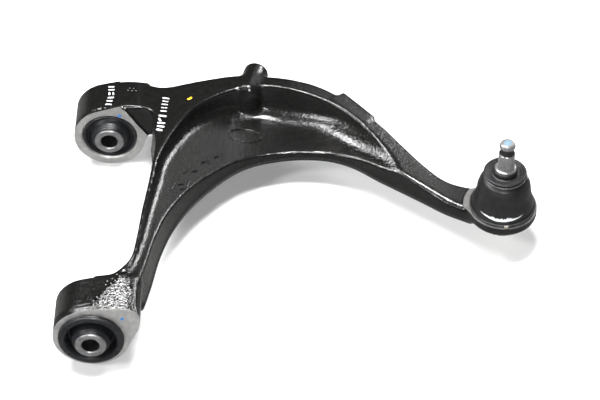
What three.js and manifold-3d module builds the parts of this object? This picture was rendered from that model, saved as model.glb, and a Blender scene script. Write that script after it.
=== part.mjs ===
// A wishbone-type control arm: one casting with a bush in each of its two eyes and a ball joint at its tip.
//
// Working frame, in millimetres: both bushes turn on the line x = 0, z = 0, which runs along Y.
// +X points to the ball joint and +Z up along its stud. At the end the whole assembly is moved
// so that the origin is the centre of its bounding box, at the level of its lowest point.

import * as THREE from 'three';
import { mergeVertices } from 'three/addons/utils/BufferGeometryUtils.js';
import Module from 'manifold-3d';

const wasm = await Module();
wasm.setup();

// ---------------------------------------------------------------- driving dimensions

const GAP = 0.3;                     // clearance kept between neighbouring pieces

// pivot eyes and their bushes
const EYE_RADIUS = 30.3;
const EYE_BORE = 23.25;
const EYE_LENGTH = 35;
const SLEEVE_FACE = 117.3;           // |y| of the inner sleeves' faces that look along -Y
const SLEEVE_LENGTH = 50.5;
const SLEEVE_RADIUS = 12.25;
const BOLT_RADIUS = 7.1;
const SHELL_WALL = 1.6;
const FLANGE_RADIUS = 26;
const BUMPER_HEIGHT = 4.4;           // how far the rubber lip on the shell's flange stands off the eye
const PLAIN_PROUD = 6.4;             // how far the sleeve stands out at the bush's plain end
const FLANGED_PROUD = SLEEVE_LENGTH - EYE_LENGTH - PLAIN_PROUD;
const REAR_EYE_FRONT = SLEEVE_FACE + PLAIN_PROUD;
const REAR_EYE_BACK = REAR_EYE_FRONT + EYE_LENGTH;
const FRONT_EYE_FRONT = -SLEEVE_FACE + FLANGED_PROUD;
const FRONT_EYE_BACK = FRONT_EYE_FRONT + EYE_LENGTH;

// casting levels
const ARM_BOTTOM = -6;
const WEB_BOTTOM = 0.5;                // underside of the web between the rear eye and the limb
const LAND_HEIGHT = 32.5;            // the flat land along the back edge
const FACE_RING = 1.2;               // how far the machined eye face stands forward of the web behind it
const BACK_SPOTFACE = 29.5;           // radius cleared behind the front eye for its sleeve and washer

// ball joint
const BALL = new THREE.Vector3(329.2, 31.5, 4);
const BALL_RADIUS = 12.5;
const BOSS_RADIUS = 28.3;
const BOSS_FACE = 8.5;
const SPOTFACE_RADIUS = 32.2;
const HOUSING_BORE = 15.5;
const HOUSING_BOTTOM = -8.6;
const HOUSING_NECK = 21.8;
const HOUSING_TOP = 13.5;
const SHANK_RADIUS = 6.6;
const STUD_SHOULDER = 51.5;
const STUD_TIP = 78.2;
const BOOT_BASE = 26.2;
const SEAL_RADIUS = 17.3;
const SEAL_TOP = 46.2;

// lug and pad on the back edge
const LUG_RADIUS = 9.8;
const LUG_START = new THREE.Vector3(117, 149, 24);
const LUG_END = new THREE.Vector3(125.5, 182, 24);
const PAD_CENTRE = new THREE.Vector3(208, 133, 10);
const PAD_LENGTH = 36;
const PAD_HEIGHT = 31;
const PAD_CORNER = 6;
const PAD_REACH = 8.6;               // from the pad's centre to its outer face
const PAD_ANGLE = 46;                // degrees from +X to the pad's outward normal

const ROUND = 32;                    // sides of a round part

// ---------------------------------------------------------------- materials

const finish = (color, roughness, metalness) => new THREE.MeshStandardMaterial({ color, roughness, metalness });
const CASTING = finish(0x1b1b1c, 0.38, 0.25);
const SLEEVE_STEEL = finish(0x8e8c88, 0.42, 0.9);
const SHELL_STEEL = finish(0x3a3a3b, 0.5, 0.7);
const BRIGHT_STEEL = finish(0xb9b6b2, 0.28, 1.0);
const SPRING_STEEL = finish(0x55534f, 0.4, 0.9);
const RUBBER = finish(0x17181a, 0.72, 0.0);
const SEAL = finish(0x26282b, 0.55, 0.0);
const ACETAL = finish(0xe4e0d4, 0.5, 0.0);

// ---------------------------------------------------------------- solids

// A solid with outward faces from any closed three.js geometry.
function solid(geometry) {
  const bare = geometry.index ? geometry.clone() : geometry;
  bare.deleteAttribute('normal');
  bare.deleteAttribute('uv');
  const merged = mergeVertices(bare, 1e-3);
  const points = merged.attributes.position;
  const kept = [];
  let volume = 0;
  const corner = [new THREE.Vector3(), new THREE.Vector3(), new THREE.Vector3()];
  for (let i = 0; i < merged.index.count; i += 3) {
    const [a, b, c] = [0, 1, 2].map((k) => merged.index.getX(i + k));
    if (a === b || b === c || c === a) continue;
    [a, b, c].forEach((vertex, k) => corner[k].fromBufferAttribute(points, vertex));
    volume += corner[0].dot(corner[1].clone().cross(corner[2]));
    kept.push(a, b, c);
  }
  if (volume < 0) kept.reverse();
  return new wasm.Manifold(new wasm.Mesh({
    numProp: 3,
    vertProperties: new Float32Array(points.array),
    triVerts: new Uint32Array(kept),
  }));
}

function geometryOf(manifold) {
  const mesh = manifold.getMesh();
  const geometry = new THREE.BufferGeometry();
  geometry.setAttribute('position', new THREE.BufferAttribute(mesh.vertProperties, 3));
  geometry.setIndex(new THREE.BufferAttribute(mesh.triVerts, 1));
  geometry.computeVertexNormals();
  return geometry;
}

const join = (...solids) => solids.reduce((sum, next) => sum.add(next));
const cut = (body, ...tools) => tools.reduce((rest, tool) => rest.subtract(tool), body);

// A plan outline, given as [x, y] points, raised from z = low to z = high.
function prism(outline, low, high) {
  const shape = new THREE.Shape(outline.map(([x, y]) => new THREE.Vector2(x, y)));
  const geometry = new THREE.ExtrudeGeometry(shape, { depth: high - low, bevelEnabled: false });
  return solid(geometry.translate(0, 0, low));
}

// A side outline, given as [x, z] points, running from y = near to y = far.
function slab(outline, near, far) {
  const shape = new THREE.Shape(outline.map(([x, z]) => new THREE.Vector2(x, z)));
  const geometry = new THREE.ExtrudeGeometry(shape, { depth: far - near, bevelEnabled: false });
  return solid(geometry.rotateX(Math.PI / 2).translate(0, far, 0));
}

// A turned part from [radius, height] points, standing on +Z, or lying along +Y.
function turned(profile, along = 'z', sides = ROUND) {
  const geometry = new THREE.LatheGeometry(profile.map(([r, h]) => new THREE.Vector2(r, h)), sides);
  if (along === 'z') geometry.rotateX(Math.PI / 2);
  return solid(geometry);
}

const rod = (radius, low, high, along = 'z') => turned([[0, low], [radius, low], [radius, high], [0, high]], along);
const ring = (inner, outer, low, high, along = 'z') =>
  turned([[inner, low], [outer, low], [outer, high], [inner, high], [inner, low]], along);

// A smooth curve through a few [x, y] points.
function through(points, perSpan = 4) {
  const curve = new THREE.SplineCurve(points.map(([x, y]) => new THREE.Vector2(x, y)));
  return curve.getPoints((points.length - 1) * perSpan).map(({ x, y }) => [x, y]);
}

// [x, y] points of an arc about a centre, in degrees.
function arc(cx, cy, radius, from, to, steps) {
  return Array.from({ length: steps + 1 }, (_, i) => {
    const angle = THREE.MathUtils.degToRad(from + ((to - from) * i) / steps);
    return [cx + radius * Math.cos(angle), cy + radius * Math.sin(angle)];
  });
}

// ---------------------------------------------------------------- arm casting

// Plan outlines, in the working frame.
const BACK_EDGE = through([
  [30, 157.5], [47, 152.3], [78, 161], [112, 167.6], [154, 163],
  [188, 151], [228, 121], [263, 80.8], [285, 60.5], [310, 52.6],
]);
const ARCH_EDGE = through([
  [39.3, FRONT_EYE_BACK - 2], [43.5, -55], [49.5, -20], [60, 14.7], [79.5, 49.5], [112, 84],
  [146, 97], [180, 98.3], [205, 90], [230, 71.2], [262.6, 47.8], [282, 33.4], [303, 22],
]);
const RIDGE = through([
  [26, FRONT_EYE_BACK - 3], [29, -56], [33.9, -29.3], [38.3, 8.4], [42.6, 37.7], [47.3, 70],
  [61.9, 106.6], [78, 130], [103, 147.2], [131, 153.5], [162.8, 146.5],
  [192.6, 133], [217.6, 110], [238, 86.5], [248, 70], [254, 54],
]);
const LIMB_OUTER = through([
  [39.8, 98], [39.2, 74], [36.1, 37.7], [32.7, 8.4], [29.7, -26], [26.5, -48.3], [18, -62], [4, -71],
]);
const WEB_CORNER = arc(25.4, REAR_EYE_FRONT + FACE_RING - 14, 14, 90, 0, 5);

// Heights along X: the land's top, and the floor of the recess.
const LAND_PROFILE = through([[155, LAND_HEIGHT], [185, 29.5], [215, 23.8], [250, 16], [285, 10.2], [312, BOSS_FACE]]);
const FLOOR_PROFILE = through([[20, 27], [42, 24.5], [60, 20], [95, 12], [130, 6], [190, 5], [230, 12], [260, 17]]);
const CEILING_DEPTH = 10;            // thickness left between the recess floor and the recess below it

function rearEye() {
  const boss = [
    [10.8, 34.6], [12.4, 31.4], [33, 1], ...arc(0, 0, EYE_RADIUS, -8, -259, 28),
  ];
  const back = [[11, 33.6], [31, 33.6], [34, 1], ...arc(0, 0, EYE_RADIUS, -8, -259, 28)];
  return join(
    slab(boss, REAR_EYE_FRONT, REAR_EYE_FRONT + FACE_RING + 1),
    slab(back, REAR_EYE_FRONT + FACE_RING, REAR_EYE_BACK),
  );
}

function frontEye() {
  const section = [
    [2, 31.6], [31, 31.6], [36, 29], [38.8, 24.5], [38.8, 15], [37, 8],
    [33, 0], ...arc(0, 0, EYE_RADIUS, -14, -262, 28),
  ];
  return slab(section, FRONT_EYE_FRONT, FRONT_EYE_BACK);
}

function armBody() {
  const outline = [
    ...ARCH_EDGE, [BALL.x, BALL.y], ...[...BACK_EDGE].reverse(), [14, 157.5],
    [14, REAR_EYE_FRONT + FACE_RING], ...WEB_CORNER, ...LIMB_OUTER, [4, FRONT_EYE_BACK - 2],
  ];
  const underWeb = prism([[8, 88], [44, 88], [44, 140], [30, 165], [8, 165]], ARM_BOTTOM - 1, WEB_BOTTOM);
  const block = cut(prism(outline, ARM_BOTTOM, LAND_HEIGHT), underWeb);
  const aboveLand = slab([...LAND_PROFILE, [400, BOSS_FACE], [400, 60], [155, 60]], -200, 250);
  const aboveFloor = slab([[-10, 27], ...FLOOR_PROFILE, [260, 60], [-10, 60]], -200, 250);
  const recess = prism([
    ...RIDGE, [249, 44], [200, 60], [150, 75], [110, 60], [80, 20], [62, -30], [52, FRONT_EYE_BACK - 3],
  ], 0, 60);
  return cut(block, aboveLand, recess.intersect(aboveFloor));
}

// The recess below, between a back flange and a front flange.
function underRecess() {
  const outline = [
    ...through([
      [50, 30], [53, 62], [62, 98], [84, 138], [112, 154], [150, 152], [182, 142], [206, 125], [222, 106],
    ]),
    ...through([[216, 96], [196, 106], [160, 108], [128, 100], [98, 84], [74, 58], [58, 28]]),
  ];
  const ceiling = FLOOR_PROFILE.map(([x, z]) => [x, Math.max(z - CEILING_DEPTH, ARM_BOTTOM + 3)]);
  const below = slab([...ceiling, [260, -40], [20, -40]], -200, 250);
  return prism(outline, -40, 40).intersect(below);
}

function ballBoss() {
  const outside = turned([
    [0, HOUSING_BOTTOM], [19, HOUSING_BOTTOM], [20.5, -3.5], [26.8, -0.4], [28.6, 2.2],
    [BOSS_RADIUS, BOSS_FACE], [HOUSING_NECK, BOSS_FACE], [HOUSING_NECK, 12.6], [20.6, HOUSING_TOP], [0, HOUSING_TOP],
  ]);
  return outside.translate([BALL.x, BALL.y, 0]);
}

function ballBores() {
  const lip = HOUSING_TOP - 2.2;
  return turned([
    [0, HOUSING_BOTTOM - 1], [HOUSING_BORE, HOUSING_BOTTOM - 1], [HOUSING_BORE, -7.7], [16.6, -7.7],
    [16.6, -6.1], [HOUSING_BORE, -6.1], [HOUSING_BORE, lip], [11.2, lip], [12.4, HOUSING_TOP + 1], [0, HOUSING_TOP + 1],
  ]).translate([BALL.x, BALL.y, 0]);
}

function lug() {
  const span = LUG_END.clone().sub(LUG_START);
  const geometry = new THREE.CylinderGeometry(LUG_RADIUS, LUG_RADIUS + 0.6, span.length(), ROUND);
  geometry.applyQuaternion(new THREE.Quaternion().setFromUnitVectors(
    new THREE.Vector3(0, 1, 0), span.clone().normalize(),
  ));
  const middle = LUG_START.clone().lerp(LUG_END, 0.5);
  return solid(geometry.translate(middle.x, middle.y, middle.z));
}

// A flat pad with rounded corners, standing off the back edge.
function pad() {
  const [x, z, r] = [PAD_LENGTH / 2, PAD_HEIGHT / 2, PAD_CORNER];
  const outline = [
    ...arc(x - r, z - r, r, 0, 90, 4), ...arc(r - x, z - r, r, 90, 180, 4),
    ...arc(r - x, r - z, r, 180, 270, 4), ...arc(x - r, r - z, r, 270, 360, 4),
  ];
  return slab(outline, -PAD_REACH, PAD_REACH).rotate([0, 0, PAD_ANGLE - 90])
    .translate([PAD_CENTRE.x, PAD_CENTRE.y, PAD_CENTRE.z]);
}

function armCasting() {
  const body = join(armBody(), rearEye(), frontEye(), lug(), pad());
  const spotFace = rod(SPOTFACE_RADIUS, BOSS_FACE, 60).translate([BALL.x, BALL.y, 0]);
  return cut(
    join(cut(body, spotFace, underRecess()), ballBoss()),
    rod(EYE_BORE, REAR_EYE_FRONT - 5, REAR_EYE_BACK + 5, 'y'),
    rod(EYE_BORE, FRONT_EYE_FRONT - 5, FRONT_EYE_BACK + 5, 'y'),
    rod(BACK_SPOTFACE, FRONT_EYE_BACK, FRONT_EYE_BACK + 14, 'y'),
    ballBores(),
  );
}

// ---------------------------------------------------------------- bushes

// Bush profiles are [radius, height] with height 0 at the eye's face on the plain side
// and EYE_LENGTH at its face on the flanged side.
const SHELL_OUTER = EYE_BORE - GAP;
const SHELL_INNER = SHELL_OUTER - SHELL_WALL;

function bushShell() {
  const flange = EYE_LENGTH + GAP;
  return turned([
    [SHELL_INNER, 0.4], [SHELL_OUTER - 0.8, 0.4], [SHELL_OUTER, 1.6], [SHELL_OUTER, flange],
    [FLANGE_RADIUS, flange], [FLANGE_RADIUS, flange + SHELL_WALL], [SHELL_INNER + 0.8, flange + SHELL_WALL],
    [SHELL_INNER, flange], [SHELL_INNER, 0.4],
  ], 'y');
}

function bushRubber() {
  const outer = SHELL_INNER - GAP;
  const inner = SLEEVE_RADIUS + GAP;
  const flange = EYE_LENGTH + GAP + SHELL_WALL + GAP;
  const lip = EYE_LENGTH + BUMPER_HEIGHT;
  return turned([
    [inner, -3.4], [13.8, -2.8], [15.6, 0.6], [18.6, 2.8], [outer, 1.2],
    [outer, EYE_LENGTH + 0.4], [outer + 1.2, flange], [FLANGE_RADIUS - 0.4, flange],
    [FLANGE_RADIUS - 0.6, lip - 1], [FLANGE_RADIUS - 1.8, lip], [20.4, lip], [19, lip - 1.4],
    [18.2, EYE_LENGTH - 2.4], [16, EYE_LENGTH - 3], [14.4, EYE_LENGTH + 2.6], [inner, EYE_LENGTH + 4.4],
    [inner, -3.4],
  ], 'y');
}

function bushSleeve() {
  const low = -PLAIN_PROUD;
  const high = EYE_LENGTH + FLANGED_PROUD;
  const edge = 0.7;
  return turned([
    [BOLT_RADIUS, low + edge], [BOLT_RADIUS + edge, low], [SLEEVE_RADIUS - edge, low], [SLEEVE_RADIUS, low + edge],
    [SLEEVE_RADIUS, high - edge], [SLEEVE_RADIUS - edge, high], [BOLT_RADIUS + edge, high],
    [BOLT_RADIUS, high - edge], [BOLT_RADIUS, low + edge],
  ], 'y');
}

// The rear bush's flange looks along +Y and the front bush's along -Y.
const placeRear = (piece) => piece.translate([0, REAR_EYE_FRONT, 0]);
const placeFront = (piece) => piece.rotate([0, 0, 180]).translate([0, FRONT_EYE_BACK, 0]);

// ---------------------------------------------------------------- ball joint

// The bearing's inner surface: an arc about the ball's centre between two heights.
function sphereArc(radius, fromHeight, toHeight, steps) {
  const from = Math.asin(THREE.MathUtils.clamp(fromHeight / radius, -1, 1));
  const to = Math.asin(THREE.MathUtils.clamp(toHeight / radius, -1, 1));
  return Array.from({ length: steps + 1 }, (_, i) => {
    const angle = from + ((to - from) * i) / steps;
    return [Math.max(radius * Math.cos(angle), 0), BALL.z + radius * Math.sin(angle)];
  });
}

const SEAT_OUTER = HOUSING_BORE - GAP;
const SEAT_SPHERE = BALL_RADIUS + GAP;

function upperSeat() {
  const top = HOUSING_TOP - 2.2 - GAP;
  const inner = sphereArc(SEAT_SPHERE, top - BALL.z, 0.2, 4);
  return turned([[SEAT_OUTER, BALL.z + 0.2], [SEAT_OUTER, top], ...inner, [SEAT_OUTER, BALL.z + 0.2]]);
}

function lowerSeat() {
  const inner = sphereArc(SEAT_SPHERE, -0.1, -SEAT_SPHERE, 9);
  return turned([...inner, [0, -10.4], [8.4, -10.4], [11.6, -6], [11.6, -4.2], [SEAT_OUTER, -4.2], inner[0].map(
    (value, i) => (i === 0 ? SEAT_OUTER : value),
  ), inner[0]]);
}

const preloadWasher = () => turned([[3.5, -11.5], [8.2, -12], [8.8, -11.2], [4, -10.7], [3.5, -11.5]]);

const closingPlate = () => turned([
  [0, -13.8], [9.4, -13.8], [12.6, -10.6], [12.6, -6.1], [SEAT_OUTER, -6.1], [SEAT_OUTER, -4.5],
  [11.9, -4.5], [11.9, -6], [11, -10.2], [9.2, -12.3], [0, -12.3],
]);

function retainingRing() {
  const full = ring(13.2, 16.3, -7.5, -6.4);
  const opening = prism([[-2.5, -20], [2.5, -20], [2.5, -10], [-2.5, -10]], -10, 0);
  return cut(full, opening);
}

const ball = () => solid(new THREE.SphereGeometry(BALL_RADIUS, 24, 16).rotateX(Math.PI / 2)).translate([0, 0, BALL.z]);

function ballStud() {
  const root = sphereArc(SEAT_SPHERE, SEAT_SPHERE, Math.sqrt(SEAT_SPHERE ** 2 - SHANK_RADIUS ** 2), 4);
  const groove = { middle: 70.6, half: 3.6, depth: 1.4 };
  const grooveArc = Array.from({ length: 5 }, (_, i) => {
    const along = -1 + i / 2;
    return [SHANK_RADIUS - groove.depth * (1 - along ** 2), groove.middle + groove.half * along];
  });
  return turned([
    ...root, [SHANK_RADIUS, 24], [8.2, 40], [8.2, 49.4], [8.7, 49.7], [8.7, STUD_SHOULDER - 0.3],
    [8.4, STUD_SHOULDER], [7, STUD_SHOULDER], [SHANK_RADIUS, 52.4], ...grooveArc, [SHANK_RADIUS, 75.4],
    [5.6, 77.1], [3.4, 78], [0, STUD_TIP],
  ]);
}

function dustBoot() {
  const lip = 8.2 + GAP;
  return turned([
    [HOUSING_NECK + GAP, 8.8], [BOOT_BASE, 8.8], [BOOT_BASE, 12.2], [23.6, 21.5], [22.3, 24], [21.4, 31], [20, 37],
    [16.4, 40.6], [16.4, 43.1], [10.2, 43.1], [10.2, 49.2], [lip, 49.2], [lip, 41.2], [15, 41.2], [18.4, 36],
    [20.6, 23.6], [23.4, 13.8], [HOUSING_NECK + GAP, 12.8], [HOUSING_NECK + GAP, 8.8],
  ]);
}

const sealRing = () => turned([
  [10.5, 43.4], [SEAL_RADIUS - 0.3, 43.4], [SEAL_RADIUS, 43.8], [SEAL_RADIUS, 45.8], [SEAL_RADIUS - 0.5, SEAL_TOP],
  [13.6, SEAL_TOP], [13, 45.2], [10.5, 45.2], [10.5, 43.4],
]);

// A spring wire round the boot's neck, with one straight tail.
function topClip() {
  const wire = 0.55;
  const radius = 17.3;
  const loop = solid(new THREE.TorusGeometry(radius, wire, 6, ROUND)).translate([0, 0, 41.9]);
  const tail = solid(new THREE.BoxGeometry(2 * wire, 4.4, 2 * wire)).rotate([0, 0, -20])
    .translate([radius + 1, 1.2, 41.9]);
  return join(loop, tail);
}

// A flat band round the boot's base, with its ends folded into a small ear.
function baseClip() {
  const band = ring(BOOT_BASE + GAP, BOOT_BASE + GAP + 0.7, 8.9, 11.4);
  const ear = solid(new THREE.BoxGeometry(3.4, 1.4, 2.1)).translate([1.2, -(BOOT_BASE + GAP + 0.9), 10.15]);
  return join(band, ear);
}

const atBall = (piece) => piece.translate([BALL.x, BALL.y, 0]);

// ---------------------------------------------------------------- assembly

const assembly = new THREE.Group();

function add(name, manifold, material) {
  const mesh = new THREE.Mesh(geometryOf(manifold), material);
  mesh.name = name;
  assembly.add(mesh);
}

add('arm_casting', armCasting(), CASTING);
for (const [side, place] of [['rear', placeRear], ['front', placeFront]]) {
  add(`${side}_bush_outer_shell`, place(bushShell()), SHELL_STEEL);
  add(`${side}_bush_rubber`, place(bushRubber()), RUBBER);
  add(`${side}_bush_inner_sleeve`, place(bushSleeve()), SLEEVE_STEEL);
}
add('upper_ball_seat', atBall(upperSeat()), ACETAL);
add('lower_ball_seat', atBall(lowerSeat()), ACETAL);
add('preload_washer', atBall(preloadWasher()), SPRING_STEEL);
add('closing_plate', atBall(closingPlate()), SPRING_STEEL);
add('plate_retaining_ring', atBall(retainingRing()), SPRING_STEEL);
add('stud_ball', atBall(ball()), BRIGHT_STEEL);
add('ball_stud', atBall(ballStud()), BRIGHT_STEEL);
add('dust_boot', atBall(dustBoot()), RUBBER);
add('boot_seal_ring', atBall(sealRing()), SEAL);
add('boot_top_clip', atBall(topClip()), SPRING_STEEL);
add('boot_base_clip', atBall(baseClip()), SPRING_STEEL);

const box = new THREE.Box3().setFromObject(assembly);
assembly.position.set(-(box.min.x + box.max.x) / 2, -(box.min.y + box.max.y) / 2, -box.min.z);
const group = new THREE.Group();
group.add(assembly);

export default group;
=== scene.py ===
"""Looks of a suspension control arm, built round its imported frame.

Shapes are worked out in millimetres in the arm's working frame: both bushes turn on the line
x = 0, z = 0 along Y, +X points to the ball joint and +Z is up. to_row() turns such points into
the row frame, in metres, with the places that the frame gives.
"""

import math
import random

import bmesh
import bpy
import numpy as np
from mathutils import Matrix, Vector
from mathutils.bvhtree import BVHTree


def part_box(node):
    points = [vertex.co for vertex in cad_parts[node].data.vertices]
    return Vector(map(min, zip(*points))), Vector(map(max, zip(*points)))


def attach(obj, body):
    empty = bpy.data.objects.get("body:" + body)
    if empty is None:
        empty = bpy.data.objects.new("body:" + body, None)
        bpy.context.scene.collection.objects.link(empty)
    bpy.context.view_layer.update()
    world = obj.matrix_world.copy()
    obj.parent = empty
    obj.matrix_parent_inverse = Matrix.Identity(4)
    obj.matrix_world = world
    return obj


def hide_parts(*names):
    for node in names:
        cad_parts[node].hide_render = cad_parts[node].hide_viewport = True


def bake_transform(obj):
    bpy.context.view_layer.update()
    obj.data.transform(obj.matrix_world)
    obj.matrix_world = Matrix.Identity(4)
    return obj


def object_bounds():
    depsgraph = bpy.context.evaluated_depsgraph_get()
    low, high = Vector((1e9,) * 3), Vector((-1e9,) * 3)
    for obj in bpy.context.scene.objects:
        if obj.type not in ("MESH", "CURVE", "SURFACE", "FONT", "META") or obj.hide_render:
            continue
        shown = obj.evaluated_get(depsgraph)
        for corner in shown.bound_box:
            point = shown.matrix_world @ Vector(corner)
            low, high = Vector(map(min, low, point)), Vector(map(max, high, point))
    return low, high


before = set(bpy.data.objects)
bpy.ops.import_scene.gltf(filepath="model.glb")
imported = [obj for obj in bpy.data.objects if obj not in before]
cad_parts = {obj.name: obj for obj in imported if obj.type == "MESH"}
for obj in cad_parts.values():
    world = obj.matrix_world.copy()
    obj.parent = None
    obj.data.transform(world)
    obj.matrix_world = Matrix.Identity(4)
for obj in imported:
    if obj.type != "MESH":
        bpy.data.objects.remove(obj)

CAD_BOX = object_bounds()
MM = 0.001

# ---------------------------------------------------------------- places, from the frame

SLEEVE_FACE = 117.3                  # |y| of the inner sleeves' faces that look along -Y
EYE_LENGTH = 35.0
PLAIN_PROUD = 6.4                    # how far the sleeve stands out at a bush's plain end
SLEEVE_LOW, SLEEVE_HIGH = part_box("rear_bush_inner_sleeve")
BALL_LOW, BALL_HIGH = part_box("stud_ball")
ORIGIN = Vector((
    (SLEEVE_LOW.x + SLEEVE_HIGH.x) / 2,
    SLEEVE_LOW.y - SLEEVE_FACE * MM,
    (SLEEVE_LOW.z + SLEEVE_HIGH.z) / 2,
))
BALL = (Vector(BALL_LOW) + Vector(BALL_HIGH)) / 2
BALL_X, BALL_Y, BALL_Z = (BALL - ORIGIN) / MM
BALL_AXIS = (BALL_X, BALL_Y, 0)

REAR_FRONT = SLEEVE_FACE + PLAIN_PROUD
REAR_BACK = REAR_FRONT + EYE_LENGTH
FRONT_FRONT = -108.2
FRONT_BACK = FRONT_FRONT + EYE_LENGTH


def to_row(points):
    """Working-frame points in millimetres, as row-frame points in metres."""
    return np.asarray(points, float) * MM + np.array(ORIGIN)


# ---------------------------------------------------------------- curves

def through(points, per_span=6):
    """A smooth curve through a few points, with the points themselves on it."""
    given = np.array(points, float)
    padded = np.vstack([given[:1], given, given[-1:]])
    out = []
    for before, start, end, after in zip(padded, padded[1:], padded[2:], padded[3:]):
        leave, arrive = (end - before) / 2, (after - start) / 2
        for i in range(per_span):
            t = i / per_span
            out.append((2 * start - 2 * end + leave + arrive) * t ** 3
                       + (3 * end - 3 * start - 2 * leave - arrive) * t ** 2 + leave * t + start)
    return np.array(out + [given[-1]])


def arc(cx, cy, radius, start, end, steps):
    """Points of an arc about a centre, in degrees."""
    angles = np.radians(np.linspace(start, end, steps + 1))
    return np.stack([cx + radius * np.cos(angles), cy + radius * np.sin(angles)], axis=1)


def outline(*pieces):
    return np.vstack([np.atleast_2d(np.array(piece, float)) for piece in pieces])


# ---------------------------------------------------------------- distance fields

def path_distance(points, u, v, closed=False):
    """Distance from places (u, v) to a path; for a closed one it is negative inside."""
    best = np.full(np.broadcast(u, v).shape, np.inf)
    inside = np.zeros(best.shape, bool)
    ends = np.roll(points, -1, axis=0) if closed else points[1:]
    for (ax, ay), (bx, by) in zip(points, ends):
        ex, ey = bx - ax, by - ay
        if ex == 0 and ey == 0:
            continue
        along = np.clip(((u - ax) * ex + (v - ay) * ey) / (ex * ex + ey * ey), 0, 1)
        best = np.minimum(best, (u - ax - ex * along) ** 2 + (v - ay - ey * along) ** 2)
        if closed and ey:
            inside ^= ((ay > v) != (by > v)) & (u < ax + ex * (v - ay) / ey)
    return np.where(inside, -1, 1) * np.sqrt(best)


def both(a, b, radius):
    """What two solids share, with the edge between them rounded."""
    out = np.hypot(np.maximum(a + radius, 0), np.maximum(b + radius, 0))
    return np.minimum(np.maximum(a, b), -radius) + out


def slopes(field):
    parts = np.gradient(field)
    length = np.sqrt(sum(part ** 2 for part in parts)) + 1e-9
    return [part / length for part in parts]


def either(a, b, radius):
    """Two solids as one, with a fillet where they meet, the smaller the flatter they meet."""
    agreement = sum(p * q for p, q in zip(slopes(a), slopes(b)))
    fillet = radius * np.sqrt(np.clip(1 - agreement ** 2, 0, 1))
    return -both(-a, -b, fillet)


def ramp(value, start, end):
    t = np.clip((value - start) / (end - start), 0, 1)
    return t * t * (3 - 2 * t)


def sample(field, places):
    """The gridded field's value between its grid points."""
    base = np.clip(np.floor(places).astype(int), 0, np.array(field.shape) - 2)
    part = places - base
    total = 0
    for corner in np.ndindex(2, 2, 2):
        weight = np.prod(np.where(corner, part, 1 - part), axis=1)
        total = total + weight * field[tuple((base + corner).T)]
    return total


def surface(field):
    """Vertices, in grid steps, and quads of the surface on which a gridded field is zero."""
    inside = field < 0
    count = np.zeros(np.array(field.shape) - 1, int)
    for corner in np.ndindex(2, 2, 2):
        count += inside[tuple(slice(c, c - 1 if c == 0 else None) for c in corner)]
    cells = np.argwhere((count > 0) & (count < 8))
    number = np.full(count.shape, -1)
    number[tuple(cells.T)] = np.arange(len(cells))

    total, crossings = np.zeros((len(cells), 3)), np.zeros((len(cells), 1))
    for corner in np.ndindex(2, 2, 2):
        for axis in range(3):
            if corner[axis]:
                continue
            other = list(corner)
            other[axis] = 1
            a, b = field[tuple((cells + corner).T)], field[tuple((cells + other).T)]
            crosses = ((a < 0) != (b < 0))[:, None]
            share = (a / np.where(a == b, 1, a - b))[:, None]
            place = np.array(corner) + share * (np.array(other) - corner)
            total += np.where(crosses, place, 0)
            crossings += crosses
    points = cells + total / crossings

    quads = []
    for axis in range(3):
        first, second = (axis + 1) % 3, (axis + 2) % 3
        low = inside[tuple(slice(None, -1) if a == axis else slice(None) for a in range(3))]
        high = inside[tuple(slice(1, None) if a == axis else slice(None) for a in range(3))]
        edges = np.argwhere(low != high)
        keep = np.all(edges[:, [first, second]] > 0, axis=1)
        keep &= np.all(edges[:, [first, second]] < np.array(field.shape)[[first, second]] - 1, axis=1)
        edges = edges[keep]
        ring = []
        for back_first, back_second in ((1, 1), (0, 1), (0, 0), (1, 0)):
            cell = edges.copy()
            cell[:, first] -= back_first
            cell[:, second] -= back_second
            ring.append(number[tuple(cell.T)])
        ring = np.stack(ring, axis=1)
        solid_low = low[tuple(edges.T)]
        quads.append(np.where(solid_low[:, None], ring, ring[:, ::-1]))

    half = 0.5
    for _ in range(3):
        value = sample(field, points)
        slope = np.stack([
            sample(field, points + half * np.eye(3)[a]) - sample(field, points - half * np.eye(3)[a])
            for a in range(3)
        ], axis=1)
        step = slope * (value / np.maximum((slope ** 2).sum(axis=1), 1e-6))[:, None]
        points = points - np.clip(step, -half, half)
    return points, np.vstack(quads)


# ---------------------------------------------------------------- meshes

def mesh_piece(name, points, faces, smooth_angle=40, closed=True):
    """A smooth-shaded piece from row-frame points. An open sheet keeps the side that its faces give it."""
    mesh = bpy.data.meshes.new(name)
    mesh.from_pydata(np.asarray(points).tolist(), [], [list(map(int, face)) for face in faces])
    mesh.validate()
    if closed:
        tool = bmesh.new()
        tool.from_mesh(mesh)
        bmesh.ops.recalc_face_normals(tool, faces=tool.faces)
        tool.to_mesh(mesh)
        tool.free()
    mesh.shade_smooth()
    mesh.set_sharp_from_angle(angle=math.radians(smooth_angle))
    piece = bpy.data.objects.new(name, mesh)
    bpy.context.scene.collection.objects.link(piece)
    return piece


def prism_faces(count):
    """Faces of a solid between two outlines of this many points, listed one after the other."""
    faces = [tuple(range(count)), tuple(range(2 * count - 1, count - 1, -1))]
    return faces + [(i, (i + 1) % count, count + (i + 1) % count, count + i) for i in range(count)]


def sheet_faces(first, rows, row):
    """Faces between rows of points, row points to a row, from the first point's number on."""
    starts = [first + i * row + k for i in range(rows) for k in range(row - 1)]
    return [(a, a + row, a + row + 1, a + 1) for a in starts]


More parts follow.
